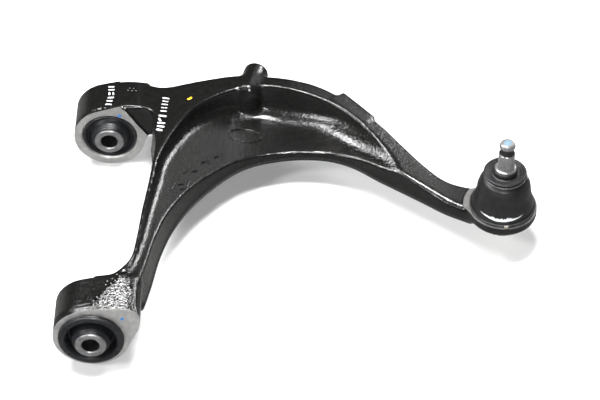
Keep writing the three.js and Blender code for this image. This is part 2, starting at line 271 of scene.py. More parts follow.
def rounded(profile, steps=4):
    """A profile whose corners (radius, height, rounding) are rounded where they ask for it."""
    corners = [tuple(p) + (0,) * (3 - len(p)) for p in profile]
    closed = corners[0][:2] == corners[-1][:2]
    if closed:
        corners = corners[:-1]
    out = []
    count = len(corners)
    for i, (r, h, rounding) in enumerate(corners):
        at = np.array([r, h])
        if not rounding or (not closed and i in (0, count - 1)):
            out.append(at)
            continue
        before = np.array(corners[i - 1][:2]) - at
        after = np.array(corners[(i + 1) % count][:2]) - at
        room = 0.48 * min(np.linalg.norm(before), np.linalg.norm(after))
        before, after = before / np.linalg.norm(before), after / np.linalg.norm(after)
        turn = math.acos(np.clip(before @ after, -1, 1))
        reach = min(rounding / math.tan(turn / 2), room)
        start, end = at + before * reach, at + after * reach
        for k in range(steps + 1):
            t = k / steps
            out.append((1 - t) ** 2 * start + 2 * t * (1 - t) * at + t ** 2 * end)
    return np.array(out + [out[0]] if closed else out)


def lathe(profile, centre=(0, 0, 0), along="z", sides=144):
    """Points and faces of a turned solid from [radius, height] points, in working-frame millimetres."""
    closed = np.allclose(profile[0], profile[-1])
    rings = profile[:-1] if closed else profile
    angles = np.arange(sides) * 2 * math.pi / sides
    points, starts = [], []
    for radius, height in rings:
        starts.append(len(points))
        turn = angles if radius > 1e-6 else angles[:1]
        for angle in turn:
            across, up = radius * math.cos(angle), radius * math.sin(angle)
            points.append((across, up, height) if along == "z" else (across, height, up))
    faces = []
    for i in range(len(rings) if closed else len(rings) - 1):
        a, b = starts[i], starts[(i + 1) % len(rings)]
        a_round, b_round = rings[i][0] > 1e-6, rings[(i + 1) % len(rings)][0] > 1e-6
        for k in range(sides):
            n = (k + 1) % sides
            if a_round and b_round:
                faces.append((a + k, a + n, b + n, b + k))
            elif a_round:
                faces.append((a + k, a + n, b))
            elif b_round:
                faces.append((a, b + n, b + k))
    return np.array(points) + np.array(centre), faces


def turned(name, profile, centre=(0, 0, 0), along="z", sides=144, smooth_angle=40):
    points, faces = lathe(rounded(profile), centre, along, sides)
    return mesh_piece(name, to_row(points), faces, smooth_angle)


def extruded(name, points, near, far):
    """A solid between y = near and y = far from an (x, z) outline."""
    corners = [(x, y, z) for y in (near, far) for x, z in points]
    return mesh_piece(name, to_row(corners), prism_faces(len(points)))


def carve(body, cutter, finish):
    """Cuts the cutter's shape out of the body; the cut faces take the finish."""
    cutter.data.materials.append(finish)
    modifier = body.modifiers.new("cut", "BOOLEAN")
    modifier.object = cutter
    modifier.operation = "DIFFERENCE"
    modifier.solver = "MANIFOLD"
    modifier.material_mode = "TRANSFER"
    shown = body.evaluated_get(bpy.context.evaluated_depsgraph_get())
    mesh = bpy.data.meshes.new_from_object(shown)
    body.modifiers.clear()
    body.data = mesh
    bpy.data.objects.remove(cutter)


# ---------------------------------------------------------------- the casting's shape

CELL = 1.25                          # grid step of the casting's distance field
FIELD_LOW = np.array([-37.0, -116.0, -36.0])
FIELD_HIGH = np.array([362.0, 188.0, 40.0])
EYE_RADIUS = 30.3
EYE_BORE = 23.25
STOCK = 2.7                          # metal left on a face that is machined afterwards
SKIN_DEPTH = 0.016                   # waviness of the forged skin
ARM_BOTTOM = -6.0
LAND_HEIGHT = 32.5
DRAFT = 0.096                        # lean of the forged walls, per millimetre away from the parting line
BOSS_RADIUS = 28.3
BOSS_FACE = 8.5
SPOTFACE_RADIUS = 32.2
HOUSING_NECK = 21.8
HOUSING_TOP = 13.5
HOUSING_BORE = 15.5
HOUSING_BOTTOM = -8.6

BACK_EDGE = through([
    [30, 157.5], [47, 152.3], [78, 161], [112, 167.6], [154, 163],
    [188, 151], [228, 121], [263, 80.8], [285, 60.5], [310, 52.6],
])
ARCH_EDGE = through([
    [39.3, FRONT_BACK - 2], [43.5, -55], [49.5, -20], [60, 14.7], [79.5, 49.5], [112, 84],
    [146, 97], [180, 98.3], [205, 90], [230, 71.2], [262.6, 47.8], [282, 33.4], [303, 22],
])
LIMB_OUTER = through([
    [39.8, 98], [39.2, 74], [36.1, 37.7], [32.7, 8.4], [29.7, -26], [26.5, -48.3], [18, -62], [4, -71],
])
WEB_CORNER = arc(25.4, REAR_FRONT - 12.8, 14, 90, 0, 8)
RIDGE = through([
    [2, -101], [10, -89], [19, -75], [26, -63], [29.6, -52],
    [33.9, -29.3], [38.3, 8.4], [42.6, 37.7], [47.3, 70],
    [61.9, 106.6], [78, 130], [103, 147.2], [131, 153.5], [162.8, 146.5],
    [192.6, 133], [219, 111.5], [241, 88.5], [252.5, 70], [259, 51],
])
LAND_PROFILE = through([
    [155, LAND_HEIGHT], [185, 29.5], [215, 23.8], [250, 16], [285, 10.2], [312, BOSS_FACE],
])
FLOOR_PROFILE = through([
    [20, 27], [42, 24.5], [60, 20], [95, 12], [130, 6], [190, 5], [230, 12], [260, 17],
])

grid_steps = np.ceil((FIELD_HIGH - FIELD_LOW) / CELL).astype(int)
GX, GY, GZ = [FIELD_LOW[a] + CELL * np.arange(grid_steps[a] + 1) for a in range(3)]
X, Y, Z = GX[:, None, None], GY[None, :, None], GZ[None, None, :]
U, V = GX[:, None], GY[None, :]


def height_along(profile, x):
    """The height of a lengthwise profile at x."""
    return np.interp(x, profile[:, 0], profile[:, 1])


def land_height(x):
    return height_along(LAND_PROFILE, x)


def arm_body():
    """The arm between the eyes and the ball joint, with its recess."""
    plan = outline(
        ARCH_EDGE, [BALL_X, BALL_Y], BACK_EDGE[::-1], [14, 157.5],
        [14, REAR_FRONT + 1.2], WEB_CORNER, LIMB_OUTER, [4, FRONT_BACK - 4], [30, FRONT_BACK - 4],
    )
    side = path_distance(plan, U, V, closed=True)
    to_back = path_distance(BACK_EDGE, U, V)
    to_front = path_distance(ARCH_EDGE, U, V)
    near_back = ramp(to_front - to_back, -25, 25)
    side = side - DRAFT * near_back * land_height(U)
    bead_height, bead_width, limb_lift = 0.9, 1.5, 6.5
    bead = bead_height * np.exp(-(Z / bead_width) ** 2)
    wall = (side[:, :, None] + DRAFT * np.abs(Z)) - bead
    web = ramp(U, 34, 44) + ramp(-V, -98, -88)
    bottom = ARM_BOTTOM + (limb_lift * (1 - np.clip(web, 0, 1)))[:, :, None]
    edge = np.interp(X, [225, 275], [2.4, 5.5])
    top = land_height(X) - 0.6 * ramp(-Y, 20, 55) - 3.5 * ramp(-Y, 62, 76)
    body = both(both(wall, Z - top, edge), bottom - Z, 2.0)
    return both(body, -recess(), 1.7)


def recess():
    """The hollow in the top, open towards the arched edge."""
    far = [[254, 42], [200, 60], [150, 75], [110, 60], [80, 20], [62, -30], [54, -70], [52, -112]]
    inside = path_distance(outline(RIDGE, far), U, V, closed=True)
    lean = np.interp(U, [50, 130], [0.13, 0.24])
    floor = height_along(FLOOR_PROFILE, U)
    floor = floor + np.interp(V, [-108, -80, -45, -10], [5.5, 3.8, 1.2, 0])
    to_arch = path_distance(ARCH_EDGE, U, V)
    floor = floor + 0.2 * ramp(U, 140, 200) * np.clip(to_arch - 2, 0, 24)
    wall = inside[:, :, None] + lean[:, :, None] * (land_height(X) - Z)
    fillet = np.interp(U, [50, 110, 150, 190], [6.5, 8, 13, 13])[:, :, None]
    return both(wall, floor[:, :, None] - Z, fillet)


def bar(section, y, near, far, rounding=2.0):
    """A solid along Y from a gridded (x, z) section."""
    return both(section[:, None, :], np.abs(y - (near + far) / 2) - (far - near) / 2, rounding)


def rear_eye(x, y, z):
    round_side = arc(0, 0, EYE_RADIUS, -8, -259, 60)
    u, v = x[:, 0], z[0]
    crown = through([[-5.8, 29.7], [2, 31.6], [10.5, 33.1], [19, 33.5], [27, 32.6], [34, 29], [37, 20]])
    face = path_distance(outline([[10.8, 34.9], [12.6, 31.2], [33, 1]], round_side), u, v, closed=True)
    back = path_distance(outline(crown, [[35, 1]], round_side), u, v, closed=True)
    return np.minimum(
        bar(face, y, REAR_FRONT - STOCK, REAR_FRONT + 3.2),
        bar(back, y, REAR_FRONT + 2.4, REAR_BACK + STOCK),
    )


def front_eye(x, y, z):
    crown = through([[-7, 29.4], [0, 31.1], [8, 32.2], [18, 32.3], [28, 31.8], [35, 29.6], [38.8, 24.5]])
    section = outline(crown, [[38.8, 15], [37, 8], [33, 0]], arc(0, 0, EYE_RADIUS, -14, -256, 60))
    distance = path_distance(section, x[:, 0], z[0], closed=True)
    return bar(distance, y, FRONT_FRONT - STOCK, FRONT_BACK + STOCK)


def pocket(x, y, z):
    """The scoop in the web's front, between the rear eye's face and the limb."""
    middle_x, middle_y, middle_z = 30, 118.5, 12
    stretch_y, stretch_z, radius = 0.8, 1.9, 12.5
    across, deep, up = x - middle_x, (y - middle_y) / stretch_y, (z - middle_z) / stretch_z
    return np.sqrt(across ** 2 + deep ** 2 + up ** 2) - radius


def lug(x, y, z):
    """The round lug on the back edge, with a wider root below it."""
    start, end = np.array([117.2, 151.0, 24.0]), np.array([125.5, 182.0, 24.0])
    pin_radius, root_radius, root_squash, root_top = 10.7, 10.4, 2.8, 30
    way = (end - start) / np.linalg.norm(end - start)
    offset = [x - start[0], y - start[1], z - start[2]]
    along = sum(o * w for o, w in zip(offset, way))
    across = np.sqrt(sum((o - along * w) ** 2 for o, w in zip(offset, way)))
    middle = np.linalg.norm(end - start) / 2
    pin = both(across - pin_radius, along - 2 * middle, 2.6)
    leaning = offset[1] + 0.2 * (land_height(x) - z)
    root = np.sqrt(offset[0] ** 2 + (leaning * root_squash) ** 2) - root_radius
    return either(both(pin, -along - 4, 7), both(root, z - root_top, 8), 5)


def pad(x, y, z):
    """The flat pad on the back edge, turned to face away from the arm."""
    angle, half_length, half_width, bottom, proud = math.radians(46), 19, 9.2, -5.5, 0.5
    right, back = x - 208, y - 133
    across = right * math.cos(angle) + back * math.sin(angle)
    along = back * math.cos(angle) - right * math.sin(angle)
    block = both(both(np.abs(along) - half_length, bottom - z, 7), z - land_height(x) - proud, 2)
    return both(block, np.abs(across) - half_width, 4)


def ball_boss(x, y, z):
    section = outline([
        [0, HOUSING_BOTTOM], [19, HOUSING_BOTTOM], [20.5, -3.5], [26.6, -0.6],
        [28.6, 2.2], [BOSS_RADIUS, 15.5], [0, 15.5],
    ])
    whole = outline(section, section[::-1] * [-1, 1])
    steps_per_mm = 4
    radius = np.arange(0, 70, 1 / steps_per_mm)
    table = path_distance(whole, radius[:, None], z[0], closed=True)
    place = np.hypot(x - BALL_X, y - BALL_Y)[:, :, 0] * steps_per_mm
    low = np.clip(place.astype(int), 0, len(radius) - 2)
    share = np.clip(place - low, 0, 1)[:, :, None]
    return table[low] * (1 - share) + table[low + 1] * share


def under_recess(x, y, z):
    """The hollow below, between a back flange and a front flange."""
    plan = outline(
        through([
            [50, 30], [53, 62], [62, 98], [84, 138], [112, 154], [150, 152], [182, 142],
            [206, 125], [222, 106],
        ]),
        through([[216, 96], [196, 106], [160, 108], [128, 100], [98, 84], [74, 58], [58, 28]]),
    )
    inside = path_distance(plan, x[:, 0], y[0].T, closed=True)[:, :, None]
    ceiling = np.maximum(height_along(FLOOR_PROFILE, x) - 10, ARM_BOTTOM + 3)
    return both(inside + 0.2 * (z - ARM_BOTTOM), z - ceiling, 3)


def casting_field():
    """The forging's distance field: each part works on the stretch of grid between its two corners."""
    field = arm_body()
    for joins, part, low, high, radius in (
        (False, under_recess, (40, 15, -36), (235, 168, 30), 1.6),
        (False, pocket, (10, 90, -20), (56, 150, 40), 2.5),
        (True, rear_eye, (-37, 105, -36), (60, 188, 40), 3),
        (True, front_eye, (-37, -116, -36), (70, -45, 40), 5),
        (True, ball_boss, (285, -12, -20), (362, 76, 30), 5),
        (True, lug, (95, 130, 0), (145, 188, 40), 4.5),
        (True, pad, (175, 100, -15), (240, 165, 40), 2.5),
    ):
        stretch = tuple(slice(*np.searchsorted(g, ends)) for g, ends in zip((GX, GY, GZ), zip(low, high)))
        x, y, z = X[stretch[0]], Y[:, stretch[1]], Z[:, :, stretch[2]]
        if joins:
            field[stretch] = either(field[stretch], part(x, y, z), radius)
        else:
            field[stretch] = both(field[stretch], -part(x, y, z), radius)
    return field + uneven_skin(field.shape)


def uneven_skin(shape):
    """The slight waviness of a forged skin."""
    waves = np.random.default_rng(5).standard_normal(shape).astype(np.float32)
    for axis in (0, 1, 2) * 2:
        waves = (np.roll(waves, 1, axis) + 2 * waves + np.roll(waves, -1, axis)) / 4
    return SKIN_DEPTH * waves / waves.std()


def arm_casting(paint, machined, spot_face):
    """The cast skin, and then what is machined into it."""
    places, quads = surface(casting_field())
    casting = mesh_piece("cast_arm", to_row(FIELD_LOW + places * CELL), quads)
    casting.data.materials.append(paint)

    face_side = [(-50, -50), (34, -50), (34.4, 0), (12.9, 32.4), (11.2, 36), (9, 50), (-50, 50)]
    whole_side = [(-50, -50), (50, -50), (50, 50), (-50, 50)]
    sliver = [(-12, 34), (36, 31.4), (36, 50), (-12, 50)]
    for name, side, near, far in (
        ("rear_face_cut", face_side, REAR_FRONT - 16, REAR_FRONT),
        ("rear_back_cut", whole_side, REAR_BACK, REAR_BACK + 12),
        ("front_face_cut", whole_side, FRONT_FRONT - 12, FRONT_FRONT),
        ("back_edge_cut", sliver, REAR_BACK - 1.6, REAR_BACK + 12),
    ):
        carve(casting, extruded(name, side, near, far), machined)
    chamfer, beyond = 1.3, 5
    for front in (REAR_FRONT, FRONT_FRONT):
        back = front + EYE_LENGTH
        bore = [
            [0, front - beyond], [EYE_BORE + chamfer + beyond, front - beyond], [EYE_BORE, front + chamfer],
            [EYE_BORE, back - chamfer], [EYE_BORE + chamfer + beyond, back + beyond], [0, back + beyond],
        ]
        carve(casting, turned("eye_bore", bore, along="y"), machined)
    reach, end = 31.4, FRONT_BACK + 13
    cut = [[0, FRONT_BACK], [reach, FRONT_BACK], [reach, end], [0, end]]
    carve(casting, turned("front_back_cut", cut, along="y"), machined)

    # The spot face's cut faces take the darker copy of the machined steel: painted shade on an upward face.
    carve(casting, turned("spot_face_cut", [
        [0, HOUSING_TOP], [20.6, HOUSING_TOP], [HOUSING_NECK, 12.6], [HOUSING_NECK, BOSS_FACE],
        [SPOTFACE_RADIUS, BOSS_FACE], [SPOTFACE_RADIUS, 36], [0, 36],
    ], BALL_AXIS), spot_face)
    lip, below, above = HOUSING_TOP - 2.2, HOUSING_BOTTOM - 5, HOUSING_TOP + 2
    ring_groove, groove_low, groove_high = 16.6, -7.7, -6.1
    carve(casting, turned("housing_bore", [
        [0, below], [HOUSING_BORE, below], [HOUSING_BORE, groove_low], [ring_groove, groove_low],
        [ring_groove, groove_high], [HOUSING_BORE, groove_high], [HOUSING_BORE, lip], [11.2, lip],
        [12.6, above], [0, above],
    ], BALL_AXIS), machined)
    casting.data.shade_smooth()
    casting.data.set_sharp_from_angle(angle=math.radians(32))
    mark_coarse_skin(casting)
    return casting


def mark_coarse_skin(casting):
    """How rough the forged skin is at each point, and the hollow that a grinder left at the front eye."""
    count = len(casting.data.vertices)
    places = np.empty(count * 3)
    casting.data.vertices.foreach_get("co", places)
    x, y, z = ((places.reshape(-1, 3) - np.array(ORIGIN)) / MM).T
    behind = np.interp(x, [2, 26, 36], [-101, -65, -58]) - y
    corner = ramp(behind, 0, 2.5) * ramp(26.5 - 0.22 * (y + 66) - x, -1.5, 1.5)
    coarse = 0.33 + 0.14 * ramp(-y, -20, 70) + 0.1 * corner * ramp(z, 20, 28)
    hollow = (0.2 * (y + 83) - 0.04 * (x - 20)) * corner
    for name, value in (("coarse", coarse), ("hollow", hollow)):
        layer = casting.data.attributes.new(name, "FLOAT", "POINT")
        layer.data.foreach_set("value", value.astype(np.float32))


# ---------------------------------------------------------------- bushes

# Bush profiles are [radius, height] with height 0 at the eye's face on the plain side
# and EYE_LENGTH at its face on the flanged side.
GAP = 0.3
SHELL_OUTER = EYE_BORE - GAP
SHELL_INNER = SHELL_OUTER - 1.6
FLANGE_RADIUS = 26.0
SLEEVE_RADIUS = 12.25
BOLT_RADIUS = 7.1
BUMPER_TOP = EYE_LENGTH + 4.4
FAR_END = (SLEEVE_HIGH.y - SLEEVE_LOW.y) / MM - PLAIN_PROUD


def shell_profile():
    flange = EYE_LENGTH + GAP
    return [
        [SHELL_INNER, 0.4, 0.3], [SHELL_OUTER - 0.9, 0.4, 0.4], [SHELL_OUTER, 1.8, 0.8],
        [SHELL_OUTER, flange, 0.2], [FLANGE_RADIUS, flange, 0.5],
        [FLANGE_RADIUS, flange + 1.6, 0.6], [SHELL_INNER + 1.4, flange + 1.6, 1.0],
        [SHELL_INNER, flange, 1.2], [SHELL_INNER, 0.4],
    ]


def ripples(radius, height, way):
    """Six small folds of the rubber's end that step in towards the sleeve."""
    inward, rise, dip, rounding = 0.42, 0.6, 0.3, 0.15
    return [
        [radius - inward * i, height + way * rise * i - way * (dip if i % 2 else 0), rounding]
        for i in range(6)
    ]


def rubber_profile():
    outer, inner = SHELL_INNER - 0.05, SLEEVE_RADIUS + 0.05
    flange, far_face = EYE_LENGTH + GAP + 1.7, EYE_LENGTH
    return [
        [inner, -5.2, 0.3], *ripples(15.2, -1.6, -1)[::-1], [15.8, -0.2, 2.0], [17.6, 2.6, 2.0],
        [19.4, 3.6, 1.0], [20.4, 1.2, 0.6], [outer, 0.9, 0.3], [outer, far_face + 0.6, 0.4],
        [outer + 1.2, flange, 0.3], [FLANGE_RADIUS - 0.3, flange, 0.3],
        [FLANGE_RADIUS - 0.4, BUMPER_TOP - 0.6, 1.4], [23.0, BUMPER_TOP + 0.1, 1.2],
        [20.8, BUMPER_TOP - 0.5, 1.2], [19.4, far_face + 1.0, 1.2], [18.6, far_face - 4.6, 1.6],
        [16.9, far_face - 4.8, 1.4], [15.4, far_face + 1.2, 2.0], *ripples(14.9, FAR_END - 4.6, 1),
        [inner, FAR_END - 1.3, 0.3], [inner, -5.2],
    ]


def sleeve_profile():
    low, high, edge = -PLAIN_PROUD, FAR_END, 0.9
    return [
        [BOLT_RADIUS, low + edge, 0.2], [BOLT_RADIUS + edge, low, 0.2], [SLEEVE_RADIUS - 0.5, low, 0.15],
        [SLEEVE_RADIUS, low + 0.5, 0.15], [SLEEVE_RADIUS, high - 0.5, 0.15],
        [SLEEVE_RADIUS - 0.5, high, 0.15],
        [BOLT_RADIUS + edge, high, 0.2], [BOLT_RADIUS, high - edge, 0.2], [BOLT_RADIUS, low + edge],
    ]


def notch_bumper(points, centre_y, direction):
    """Small moulding notches round the bumper ring."""
    ring, depth, width = 22.8, 1.3, 1.7
    for degrees in (38, 142, 218, 331):
        angle = math.radians(degrees)
        across = np.hypot(points[:, 0] - ring * math.cos(angle), points[:, 2] - ring * math.sin(angle))
        proud = (points[:, 1] - centre_y) * direction
        dent = depth * np.exp(-(across / width) ** 2) * (proud > EYE_LENGTH + 2.4)
        points[:, 1] -= dent * direction
    return points


def paint_shade_within(piece, axis, along, radius, low, high, finish):
    """Painted shade: a darker finish for the faces within a radius of an axis, between two levels along it.
    """
    piece.data.materials.append(finish)
    around = [a for a in range(3) if a != along]
    for face in piece.data.polygons:
        across = math.hypot(*(face.center[a] - axis[a] for a in around)) / MM
        level = (face.center[along] - axis[along]) / MM
        if across < radius and low < level < high:
            face.material_index = 1


def bush(side, finishes):
    """Shell, rubber and sleeve of one bush. The rear flange looks along +Y and the front one along -Y."""
    start, direction = (REAR_FRONT, 1) if side == "rear" else (FRONT_BACK, -1)
    parts = (
        ("shell", "outer_shell", shell_profile(), "arm"),
        ("rubber", "rubber", rubber_profile(), "arm"),
        ("sleeve", "inner_sleeve", sleeve_profile(), f"{side}_sleeve"),
    )
    for kind, node, profile, body in parts:
        placed = [[radius, direction * height, *rounding] for radius, height, *rounding in profile]
        points, faces = lathe(rounded(placed), (0, start, 0), "y")
        if kind == "rubber":
            points = notch_bumper(points, start, direction)
        piece = mesh_piece(f"{side}_{kind}", to_row(points), faces, 34)
        finish, slot = finishes[kind]
        dress(piece, finish, slot, body, f"{side}_bush_{node}")
        if kind == "sleeve":
            # Painted shade: the bolt bore inside the sleeve takes the near-black bore steel.
            paint_shade_within(piece, to_row((0, start, 0)), 1, BOLT_RADIUS + 0.1, -80, 80, finishes["bore"][0])


# ---------------------------------------------------------------- ball joint

SHANK_RADIUS = 6.6
STUD_TIP = 78.2
STUD_GROOVE = (66.7, 74.1)
BOOT_BASE = 26.2
SEAL_RADIUS = 17.6
SKIRT_START = 11.5                   # where the boot starts to bend, above its clamped base
BOOT_SPLIT = 31.5                    # the height at which the boot's two halves meet
BELL_END = 41


def stud_profile():
    root = [[12.8 * math.cos(a), BALL_Z + 12.8 * math.sin(a)] for a in np.linspace(math.pi / 2, 1.03, 5)]
    middle, half = sum(STUD_GROOVE) / 2, (STUD_GROOVE[1] - STUD_GROOVE[0]) / 2
    groove = [
        [SHANK_RADIUS - 1.5 * (1 - t * t) ** 0.8, middle + half * t] for t in np.linspace(-1, 1, 13)
    ]
    return [
        *root, [SHANK_RADIUS, 24, 3], [8.2, 40, 3], [8.2, 49.95, 0.1], [8.9, 50.1, 0.2],
        [8.9, 50.9, 0.4], [7.9, 51.5, 0.4], [7.2, 51.8, 0.6], [SHANK_RADIUS, 54.0, 1.4], *groove,
        [SHANK_RADIUS, 75.3, 0.7], [5.8, 76.9, 0.5], [4.4, 77.8, 0.8], [0, STUD_TIP],
    ]


def boot_outside():
    """The boot's outer wall from its clamped base to its neck."""
    return [
        [BOOT_BASE, 8.9, 0.4], [BOOT_BASE, 11.9, 0.8], [25.4, 13.2, 1.2], [24.6, 17.0, 3],
        [23.2, 22.4, 3], [22.3, 25.8, 3], [21.9, 30.5, 4], [20.8, 35.4, 3.5], [18.6, 39.6, 3],
        [16.5, 41.2, 0.7],
    ]


def boot_profile(low):
    """One half of the boot: the low half is clamped to the housing, the high one closes round the stud's
    neck.
    """
    wall = 1.4
    outside = rounded(boot_outside(), 6)
    edge = np.array([np.interp(BOOT_SPLIT, outside[:, 1], outside[:, 0]), BOOT_SPLIT])
    if low:
        kept = [p for p in outside if p[1] <= BOOT_SPLIT]
        outer = np.array(kept + [edge])
        inner = outer[::-1] - [wall, 0]
        inner = np.array([p if p[1] > 14 else [HOUSING_NECK + 0.2, p[1]] for p in inner])
        return np.vstack([outer, inner, outer[:1]])
    kept = [p for p in outside if p[1] > BOOT_SPLIT]
    neck = rounded([
        [16.5, 41.2], [16.3, 43.6, 0.4], [16.5, 44.4, 0.2], [10.2, 44.4, 0.4], [10.2, 48.6, 0.6],
        [9.7, 49.5, 0.4], [9.2, 49.9, 0.3], [8.3, 49.9, 0.3], [8.3, 41.6, 0.3], [15.0, 41.6],
    ], 5)
    inner = np.array([edge, *kept])[::-1] - [wall, 0]
    inner = inner[inner[:, 1] < 40.2]
    return np.vstack([[edge], kept, neck[1:], inner, [edge]])


def seal_profile():
    return [
        [10.3, 44.5, 0.2], [SEAL_RADIUS - 0.5, 44.5, 0.3], [SEAL_RADIUS, 45.0, 0.3],
        [SEAL_RADIUS, 46.2, 0.4], [SEAL_RADIUS - 0.7, 46.7, 0.4], [15.2, 46.7, 0.3],
        [14.7, 46.2, 0.3], [13.4, 46.2, 0.3], [12.8, 45.5, 0.4], [11.2, 45.5, 0.3],
        [10.3, 46.1, 0.3], [10.3, 44.5],
    ]


def tube(name, path, radius, sides=10):
    """A round wire along a path of working-frame points, with closed ends."""
    path = np.array(path, float)
    ways = np.gradient(path, axis=0)
    ways /= np.linalg.norm(ways, axis=1)[:, None]
    points = []
    for place, way in zip(path, ways):
        across = np.cross(way, (0, 0, 1))
        across /= np.linalg.norm(across)
        up = np.cross(across, way)
        for k in range(sides):
            angle = 2 * math.pi * k / sides
            points.append(place + radius * (math.cos(angle) * across + math.sin(angle) * up))
    faces = [tuple(range(sides)), tuple(range(len(points) - 1, len(points) - sides - 1, -1))]
    for i in range(len(path) - 1):
        for k in range(sides):
            a, b = i * sides + k, i * sides + (k + 1) % sides
            faces.append((a, b, b + sides, a + sides))
    return mesh_piece(name, to_row(points), faces)


def top_clip():
    """A spring wire round the boot's neck; its end stands out at the side."""
    height, radius, wire = 42.6, 16.9, 0.5
    loop = [
        (BALL_X + radius * math.cos(a), BALL_Y + radius * math.sin(a), height + 0.5 * math.sin(a / 2))
        for a in np.linspace(2 * math.pi - 0.12, 0.0, 90)
    ]
    tail = [(BALL_X + radius + 0.35 * i, BALL_Y - 1.0 * i, height - 0.1 * i) for i in range(1, 5)]
    return tube("neck_clip", loop + tail, wire)


def base_clip():
    """A flat band round the boot's base, with its ends folded into a small ear."""
    inner = BOOT_BASE + GAP
    band = turned("base_band", [
        [inner, 8.9, 0.1], [inner + 0.7, 8.9, 0.15], [inner + 0.7, 11.4, 0.15], [inner, 11.4, 0.1],
        [inner, 8.9],
    ], BALL_AXIS)
    ear = rounded([[-1.7, 0, 0.2], [1.7, 0, 0.2], [1.3, 1.5, 0.5], [-1.3, 1.5, 0.5], [-1.7, 0]], 5)
    levels = (9.1, 11.2)
    corners = [(BALL_X + 1.2 + p[0], BALL_Y - inner - 0.3 - p[1], h) for h in levels for p in ear[:-1]]
    return band, mesh_piece("base_band_ear", to_row(corners), prism_faces(len(ear) - 1))


def plate_profile():
    outer = HOUSING_BORE - GAP
    return [
        [0, -13.8], [9.2, -13.8, 1.2], [12.8, -10.4, 1.2], [12.8, -6.1, 0.8], [outer, -6.1, 0.3],
        [outer, -4.6, 0.3], [11.6, -4.6, 0.8], [11.6, -6.2, 0.8], [11.0, -10.0, 1.0],
        [8.9, -12.3, 1.0], [0, -12.3],
    ]


def retaining_ring():
    """A snap ring with a gap."""
    steps, low, high, half_gap = 80, -7.5, -6.4, 12
    angles = np.radians(np.linspace(-90 + half_gap, 270 - half_gap, steps))
    inner, outer = ([(r * math.cos(a), r * math.sin(a)) for a in angles] for r in (13.4, 16.3))
    corners = [(BALL_X + x, BALL_Y + y, h) for h in (low, high) for x, y in inner + outer]
    faces = []
    for i in range(steps - 1):
        bottom = (i, i + 1, steps + i + 1, steps + i)
        faces.append(bottom[::-1])
        faces.append(tuple(2 * steps + k for k in bottom))
        faces.append((i, i + 1, 2 * steps + i + 1, 2 * steps + i))
        faces.append((steps + i + 1, steps + i, 3 * steps + i, 3 * steps + i + 1))
    for i in (0, steps - 1):
        faces.append((i, steps + i, 3 * steps + i, 2 * steps + i))
    return mesh_piece("snap_ring", to_row(corners), faces, 30)


def ball_joint(finishes):
    stud, rubber = finishes["stud"], finishes["boot"]
    spring, plated = finishes["spring"], finishes["plated"]
    for piece, (finish, slot), body, nodes in (
        (turned("tapered_stud", stud_profile(), BALL_AXIS), stud, "stud", ["ball_stud"]),
        (turned("boot_disc", seal_profile(), BALL_AXIS, smooth_angle=30),
         rubber, "boot_crown", ["boot_seal_ring"]),
        (top_clip(), spring, "boot_crown", ["boot_top_clip"]),
        (turned("dished_plate", plate_profile(), BALL_AXIS), plated, "arm", ["closing_plate"]),
        (retaining_ring(), spring, "arm", ["plate_retaining_ring"]),
    ):
        dress(piece, finish, slot, body, *nodes)
    stud_piece = bpy.data.objects["tapered_stud"]
    # Painted shade: the stud's neck groove takes the near-black bore steel.
    paint_shade_within(stud_piece, to_row(BALL_AXIS), 2, SHANK_RADIUS - 0.5, *STUD_GROOVE, finishes["bore"][0])
    band, ear = base_clip()
    dress(band, *finishes["band"], "arm", "boot_base_clip")
    dress(ear, *plated, "arm")
    low = turned("boot_skirt", boot_profile(True), BALL_AXIS, smooth_angle=30)
    high = turned("boot_bell", boot_profile(False), BALL_AXIS, smooth_angle=30)
    for piece, bodies, start, end in (
        (low, ("arm", "ball"), SKIRT_START, BOOT_SPLIT),
        (high, ("ball", "boot_crown"), BOOT_SPLIT, BELL_END),
    ):
        piece.data.materials.append(rubber[0])
        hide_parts("dust_boot")
        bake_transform(piece)


def dress(piece, finish, slot, body, *nodes):
    """Gives a piece its material, sets it on its body and hides the solids it stands for. The slot is not
    used.
    """
    if not piece.data.materials:
        piece.data.materials.append(finish)
    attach(piece, body)
    if nodes:
        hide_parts(*nodes)


# ---------------------------------------------------------------- marks on the surface

def ground(tree, x, y):
    """The height of the surface below a place, and the way it faces."""
    top = Vector(to_row((x, y, 60)))
    hit, normal, _, _ = tree.ray_cast(top, Vector((0, 0, -1)))
    return (Vector(to_row((x, y, 0))), Vector((0, 0, 1))) if hit is None else (hit, normal)


def dabs(name, tree, strokes, height, uneven=0.0, seed=1):
    """Low raised strokes that lie on a surface. A stroke is (x0, y0, x1, y1, width)."""
    draw = random.Random(seed)
    points, faces = [], []
    along_steps, across_steps = 14, 6
    for x0, y0, x1, y1, width in strokes:
        start, end = np.array([x0, y0]), np.array([x1, y1])
        length = np.linalg.norm(end - start)
        way = (end - start) / length if length > 1e-6 else np.array([1.0, 0.0])
        side = np.array([-way[1], way[0]])
        half = width / 2
        base = len(points)
        for i in range(along_steps + 1):
            t = i / along_steps
            place = -half + (length + 2 * half) * t
            inset = max(half - (place + half), place - length, 0)
            room = math.sqrt(max(half ** 2 - inset ** 2, 0.0025 * width ** 2))
            room *= 1 + uneven * (draw.random() - 0.5)
            for k in range(across_steps + 1):
                u = 2 * k / across_steps - 1
                spot = start + way * place + side * u * room
                hit, normal = ground(tree, *spot)
                crown = (1 - u * u) * min(1.0, room / half)
                points.append(hit + normal * (height * (0.2 + 0.8 * crown ** 0.5) - 0.04) * MM)
        faces += sheet_faces(base, along_steps, across_steps + 1)
    return mesh_piece(name, points, faces, 60, closed=False)


